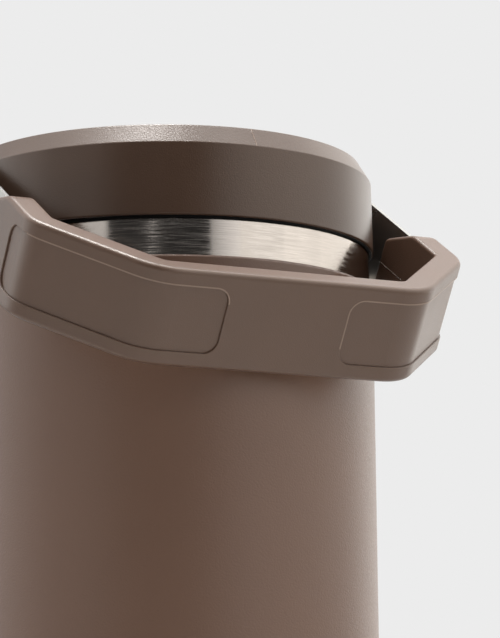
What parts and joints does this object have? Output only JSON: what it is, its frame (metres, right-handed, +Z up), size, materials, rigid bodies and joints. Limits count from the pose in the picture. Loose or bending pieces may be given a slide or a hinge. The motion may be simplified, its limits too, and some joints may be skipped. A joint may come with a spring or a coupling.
{
  "type": "insulated tumbler",
  "caption": "Double-wall insulated drinking tumbler with a screw-in lid, folding straw spout and a swinging carry handle.",
  "frame": {"origin": "centre of the foot, in the plane that the tumbler stands on", "axes": "+Z up along the bottle, -Y towards the front where the folded handle lies, +X to the right seen from the front"},
  "size_m": [0.099, 0.1047, 0.2172],
  "materials": {
    "powder_coat": "matte powder coat with a fine texture",
    "brushed_steel": "brushed round the axis",
    "plain_steel": "satin sheet",
    "solder": "dull bead",
    "getter_alloy": "sintered",
    "silicone": "translucent pale silicone",
    "lid_plastic": "fine moulded grain",
    "plug_plastic": "smooth moulded",
    "spout_plastic": "satin",
    "straw_plastic": "frosted",
    "pin_steel": "polished",
    "bush_plastic": "acetal",
    "band_steel": "satin strip",
    "grip_plastic": "fine moulded grain"
  },
  "bodies": {
    "bottle": {"outer_shell": "powder_coat", "inner_vessel": "brushed_steel", "base_disc": "plain_steel", "base_cover": "plain_steel", "seal_bead": "solder", "getter": "getter_alloy"},
    "seal": {"mouth_seal": "silicone"},
    "lid": {"lid_cover": "lid_plastic", "lid_base": "plug_plastic", "vent_valve": "silicone", "spout_seal": "silicone", "spout_pin_left": "pin_steel", "spout_pin_right": "pin_steel", "straw_sleeve": "silicone", "straw": "straw_plastic", "pivot_rivet_left": "pin_steel", "pivot_rivet_right": "pin_steel", "pivot_bush_left": "bush_plastic", "pivot_bush_right": "bush_plastic", "pivot_washer_left": "pin_steel", "pivot_washer_right": "pin_steel"},
    "spout": {"flip_spout": "spout_plastic"},
    "handle": {"handle_band": "band_steel", "handle_grip": "grip_plastic"}
  },
  "joints": [
    {"name": "lid_lift", "type": "slide", "parent": "bottle", "child": "seal", "axis": [0, 0, 1], "range_m": [0, 0.235]},
    {"name": "lid_turn", "type": "hinge", "parent": "seal", "child": "lid", "pos_m": [0, 0, 0.201], "axis": [0, 0, 1], "range_deg": [0, 450]},
    {"name": "spout_flip", "type": "hinge", "parent": "lid", "child": "spout", "pos_m": [0, -0.004, 0.2095], "axis": [1, 0, 0], "range_deg": [0, 90]},
    {"name": "handle_swing", "type": "hinge", "parent": "lid", "child": "handle", "pos_m": [0, 0, 0.20865], "axis": [-1, 0, 0], "range_deg": [0, 244.66]}
  ]
}
